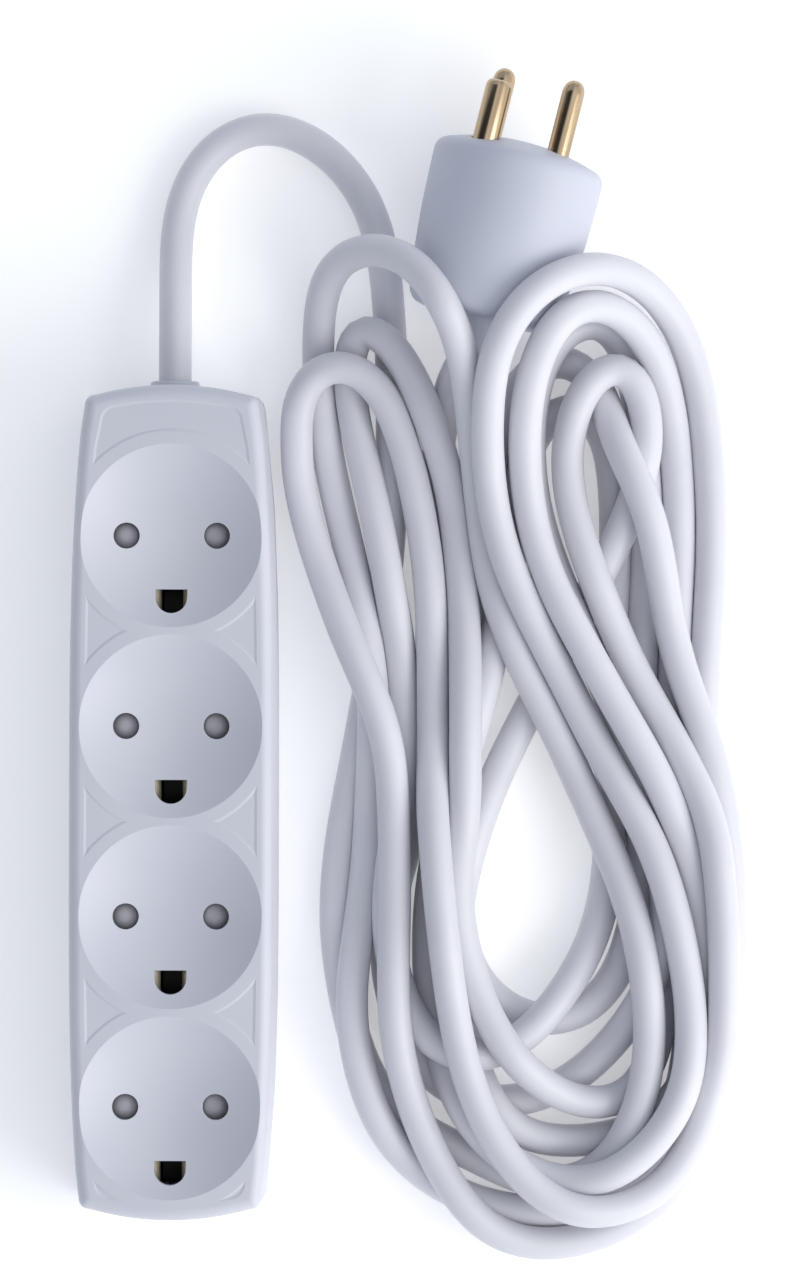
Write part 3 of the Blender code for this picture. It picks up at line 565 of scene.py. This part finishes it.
entry = lathed("entry", [(0, 8), (entry_radius, 8), (entry_radius, -8), (0, -8)], 40)
entry.rotation_euler = (math.pi / 2, 0, 0)
cuts.append(at(entry, y=strip_length / 2, z=entry_height))
with_tools(top_cover, cuts)
finished(top_cover, white_strip, 0.22, 30, 14)
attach(top_cover, "lead")
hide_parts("top_cover")

# --- Bottom cover ------------------------------------------------------------------------------
# The lower tray, moulded in the same white plastic. It closes the strip from below, with a fine
# shadow line where the two covers meet and four deep screw seats in its underside.

bottom_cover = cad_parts["bottom_cover"]
tray_edges = bottom_cover.modifiers.new("broken_edges", "BEVEL")
tray_edges.width = 0.15 * MM
tray_edges.segments = 2
tray_edges.limit_method = "ANGLE"
tray_edges.angle_limit = math.radians(40)
for slot in bottom_cover.material_slots:
    slot.material = white_strip

# --- Shutters ----------------------------------------------------------------------------------
# Grey acetal sliders behind the pin holes, one to a socket, with a domed pad under each hole.
# They are moulded with a satin skin and slide on the trays when a plug's pins push the pads.

shutter_grey = plastic("shutter_grey", (0.50, 0.49, 0.52), (0.58, 0.57, 0.60), 0.30, 0.3, 2400, 200)
for number, y in enumerate(socket_ys, 1):
    corners = []
    for sign_x, sign_y, start in ((1, 1, 0), (-1, 1, 90), (-1, -1, 180), (1, -1, 270)):
        corners += round_points((12.0 * sign_x, 2.5 * sign_y), 1.5, start, start + 90, 6)
    slider = solid(f"shutter_slider_{number}", [(corners, 22.6), (corners, 24.6)])
    pad = [(0, 27.3), (0.8, 27.25), (1.4, 27.1), (2.0, 26.85), (2.6, 26.5), (3.05, 26.1),
           (3.4, 25.6), (3.6, 24.8), (3.6, 23.6), (0, 23.6)]
    with_tools(slider, [at(lathed("pad", pad, 40), x) for x in (-pin_offset, pin_offset)], "UNION")
    at(slider, y=y)
    finished(slider, shutter_grey, 0.1, 40)
    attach(slider, f"shutter_{number}_body")
    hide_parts(f"shutter_{number}")

# --- Cord bush ---------------------------------------------------------------------------------
# A short white collar that stands a little out of the strip's end, held by a flange inside.

front = strip_length / 2 + 0.6
bush_profile = [(4.3, front), (4.7, front), (5.0, front - 0.12), (5.2, front - 0.45), (5.2, 85.4),
                (6.5, 85.4), (6.5, 83.4), (5.2, 83.4), (5.2, 81.2), (3.8, 81.2), (3.8, front - 0.6),
                (3.95, front - 0.2)]
bush = lathed("cord_bush_collar", bush_profile, 64, ring=True)
bush.rotation_euler = (-math.pi / 2, 0, 0)
at(bush, z=entry_height)
finished(bush, white_strip)
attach(bush, "lead")
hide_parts("cord_bush")

# --- Brass contacts ----------------------------------------------------------------------------
# Busbars stamped from brass sheet and folded into sprung leaves, which show in the earth slots.


def metal(name, dark, light, roughness, streak_scale, shade_top=None):
    """Bare metal with fine drawing lines. Below a height in mm its colour can fade to near black, as
    painted shade.
    """
    material = bpy.data.materials.new(name)
    material.use_nodes = True
    nodes, links = material.node_tree.nodes, material.node_tree.links
    shader = nodes["Principled BSDF"]
    shader.inputs["Metallic"].default_value = 1.0 if shade_top is None else 0.3
    place = nodes.new("ShaderNodeTexCoord")
    stretch = nodes.new("ShaderNodeMapping")
    stretch.inputs["Scale"].default_value = (streak_scale, streak_scale, streak_scale * 0.05)
    links.new(place.outputs["Object"], stretch.inputs["Vector"])
    streaks = nodes.new("ShaderNodeTexNoise")
    streaks.inputs["Scale"].default_value = 1.0
    streaks.inputs["Detail"].default_value = 4.0
    links.new(stretch.outputs["Vector"], streaks.inputs["Vector"])
    tint = nodes.new("ShaderNodeValToRGB")
    tint.color_ramp.elements[0].position = 0.3
    tint.color_ramp.elements[0].color = (*dark, 1)
    tint.color_ramp.elements[1].position = 0.7
    tint.color_ramp.elements[1].color = (*light, 1)
    links.new(streaks.outputs["Fac"], tint.inputs["Fac"])
    if shade_top is None:
        links.new(tint.outputs["Color"], shader.inputs["Base Color"])
    else:
        # Painted shade: below the given height the colour fades to near black, standing in for the
        # darkness deep in the earth slots.
        height = nodes.new("ShaderNodeSeparateXYZ")
        shade_fade = nodes.new("ShaderNodeMapRange")
        shade_fade.inputs["From Min"].default_value = (shade_top - 1.5) * MM
        shade_fade.inputs["From Max"].default_value = shade_top * MM
        painted_shade = nodes.new("ShaderNodeMix")
        painted_shade.data_type = "RGBA"
        painted_shade.inputs["A"].default_value = (0.030, 0.026, 0.023, 1)
        links.new(place.outputs["Object"], height.inputs["Vector"])
        links.new(height.outputs["Z"], shade_fade.inputs["Value"])
        links.new(shade_fade.outputs["Result"], painted_shade.inputs["Factor"])
        links.new(tint.outputs["Color"], painted_shade.inputs["B"])
        links.new(painted_shade.outputs["Result"], shader.inputs["Base Color"])
    gloss = nodes.new("ShaderNodeMapRange")
    gloss.inputs["To Min"].default_value = roughness - 0.06
    gloss.inputs["To Max"].default_value = roughness + 0.08
    links.new(streaks.outputs["Fac"], gloss.inputs["Value"])
    links.new(gloss.outputs["Result"], shader.inputs["Roughness"])
    relief = nodes.new("ShaderNodeBump")
    relief.inputs["Strength"].default_value = 0.15
    relief.inputs["Distance"].default_value = 0.00005
    links.new(streaks.outputs["Fac"], relief.inputs["Height"])
    links.new(relief.outputs["Normal"], shader.inputs["Normal"])
    return material


# Below 21 mm the contacts are painted near black as painted shade deep in the earth slots; the leaf
# tips above keep the brass colour.
contact_brass = metal("contact_brass", (0.94, 0.82, 0.58), (1.0, 0.93, 0.76), 0.38, 1500, 21.0)
for node in ("live_busbar", "neutral_busbar"):
    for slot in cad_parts[node].material_slots:
        slot.material = contact_brass

leaf_line = [(2.3, 6.6), (2.9, 14), (2.25, 23), (2.3, 25.2), (2.5, 26.4), (2.85, 27.3), (3.35, 28.0),
             (4.0, 28.4), (4.2, 27.8), (3.7, 27.4), (3.35, 26.9), (3.15, 26.1), (3.0, 25.2), (2.95, 23),
             (3.6, 14), (3.0, 6.6)]
leaf_half_width, leaf_centre = 2.6, 13.8
bar_outline = [(3.2, -81.5), (3.2, 66), (-3.2, 66), (-3.2, -81.5)]
earth_contacts = solid("earth_contacts", [(bar_outline, 6.3), (bar_outline, 7.1)])
leaves = []
for y in socket_ys:
    for side in (-1, 1):
        section = [(side * x, z) for x, z in leaf_line][::-side]
        leaf = solid("leaf", [(section, -leaf_half_width), (section, leaf_half_width)])
        leaf.rotation_euler = (math.pi / 2, 0, 0)
        leaves.append(at(leaf, y=y - leaf_centre))
with_tools(earth_contacts, leaves, "UNION")
finished(earth_contacts, contact_brass, 0.05, 40)
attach(earth_contacts, "lead")
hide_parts("earth_busbar")

# --- Shutter trays and springs -----------------------------------------------------------------
# Satin grey trays that carry the sliders, and the small steel coils that push them shut.

tray_grey = plastic("tray_grey", (0.20, 0.20, 0.22), (0.25, 0.25, 0.27), 0.5, 0.3, 2000, 120)
spring_steel = metal("spring_steel", (0.42, 0.43, 0.45), (0.60, 0.61, 0.63), 0.3, 2500)
screw_zinc = metal("screw_zinc", (0.50, 0.51, 0.53), (0.68, 0.69, 0.70), 0.36, 1200)
node_finishes = {
    tray_grey: [f"shutter_tray_{n}" for n in range(1, 5)] + ["plug_insert"],
    spring_steel: [f"shutter_spring_{n}" for n in range(1, 5)],
    screw_zinc: [f"case_screw_{n}" for n in range(1, 5)] + ["clamp_screw_1", "clamp_screw_2"],
    white_strip: ["cord_clamp"],
}
core_colours = {
    "live": ((0.16, 0.07, 0.03), (0.22, 0.10, 0.05)),
    "neutral": ((0.03, 0.10, 0.40), (0.05, 0.15, 0.50)),
    "earth": ((0.20, 0.42, 0.05), (0.55, 0.60, 0.08)),
}
for core, (dark, light) in core_colours.items():
    insulation = plastic(f"{core}_insulation", dark, light, 0.45, 0.2, 2000, 250)
    node_finishes[insulation] = [f"strip_{core}_wire", f"plug_{core}_wire"]
for material, node_names in node_finishes.items():
    for node in node_names:
        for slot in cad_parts[node].material_slots:
            slot.material = material
for number, y in enumerate(socket_ys, 1):
    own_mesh(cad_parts[f"shutter_spring_{number}"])

# --- Plug --------------------------------------------------------------------------------------
# A round plug moulded in white PVC straight onto the cord. Its face is domed to fit a dish, and
# it narrows a little towards the cord.

plug_roll = math.radians(38.5)
plug_right = plug_heading.cross(Vector((0, 0, 1)))
plug_across = plug_right * math.cos(plug_roll) + Vector((0, 0, 1)) * math.sin(plug_roll)
plug_back = plug_heading.cross(plug_across)
plug_turn = Matrix((plug_across, plug_back, plug_heading)).transposed()
plug_place = Matrix.Translation(plug_rear * MM) @ plug_turn.to_4x4()


def on_plug(obj):
    """Moves a piece made about Z to the plug's own axis and roll."""
    obj.matrix_world = plug_place @ Matrix.Translation(obj.location)
    return obj


def d_outline(margin, inset=0.0):
    """The half-round earth pin's section: flat towards the line pins, round away from them."""
    half = 2.75 + margin - inset
    flat = -11.8 + margin - inset
    low = -15.8 - margin + inset
    return [(half, flat), (-half, flat), *round_points((0, low + half), half, 180, 360, 24)]


white_plug = plastic("white_plug", (0.55, 0.57, 0.66), (0.59, 0.61, 0.69), 0.48, 0.15, 2200, 35)
plug_dome = 50.0
plug_profile = []
for radius in (0, 2.5, 5, 7.5, 10, 12, 14, 15.4, 16.4):
    plug_profile.append((radius, 38.4 - plug_dome + math.sqrt(plug_dome**2 - radius**2)))
plug_profile += [(17.15, 35.2), (17.75, 34.65), (18.1, 34.0), (18.28, 33.2), (18.3, 32.2),
                 (18.15, 26.0), (17.9, 20.0), (17.45, 14.0), (16.85, 8.0), (16.5, 4.8), (16.3, 3.4),
                 (15.9, 2.1), (15.2, 1.05), (14.3, 0.35), (13.2, 0), (5.3, 0), (5.3, 2.8),
                 (13.9, 2.8), (15.4, 20), (15.8, 30), (12.5, 32.5), (0, 33.5)]
plug_body = lathed("plug_moulding", plug_profile, 128)
passages = [at(lathed("passage", [(0, 60), (2.65, 60), (2.65, 19), (0, 19)], 40), x)
            for x in (-pin_offset, pin_offset)]
passages.append(solid("earth_passage", [(d_outline(0.25), 19), (d_outline(0.25), 60)]))
with_tools(plug_body, passages)
on_plug(plug_body)
finished(plug_body, white_plug, 0.15, 35)
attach(plug_body, "lead")
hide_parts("plug_body")

# --- Plug pins ---------------------------------------------------------------------------------
# Two round pins turned from solid brass with domed ends, and a half-round earth pin rolled from
# brass sheet. Handling has left fine lines along them.

pin_brass = metal("pin_brass", (0.40, 0.29, 0.18), (0.60, 0.47, 0.31), 0.2, 900)
pin_profile = [(0, 53.2), (0.7, 53.1), (1.3, 52.8), (1.8, 52.3), (2.15, 51.7), (2.35, 50.9),
               (2.4, 50.2), (2.4, 21.7), (3.6, 21.7), (3.6, 20), (0, 20)]
for side, x in (("left", -pin_offset), ("right", pin_offset)):
    pin = on_plug(at(lathed(f"round_pin_{side}", pin_profile, 48), x))
    finished(pin, pin_brass, angle=50)
    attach(pin, "lead")
    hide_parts(f"plug_pin_{side}")
earth_levels = [(d_outline(0, inset), z) for inset, z in
                ((0, 20), (0, 47.6), (0.12, 48.2), (0.45, 48.7), (1.0, 49.0))]
earth_pin = on_plug(solid("half_round_pin", earth_levels))
finished(earth_pin, pin_brass, 0.3, 40)
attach(earth_pin, "lead")
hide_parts("plug_earth_pin")

# --- Plug sleeve -------------------------------------------------------------------------------
# A short tapered sleeve behind the plug, moulded with it, that eases the cord's bend.

sleeve_profile = [(3.8, 12), (5.0, 12), (5.0, 5.2), (6.8, 5.2), (6.8, 3.2), (5.0, 3.2), (5.0, 0),
                  (4.85, -2.4), (4.7, -4.8), (4.55, -6.3), (4.35, -6.85), (4.0, -7.0), (3.8, -6.8)]
sleeve = on_plug(lathed("plug_sleeve_taper", sleeve_profile, 64, ring=True))
finished(sleeve, white_plug)
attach(sleeve, "lead")
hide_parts("plug_sleeve")
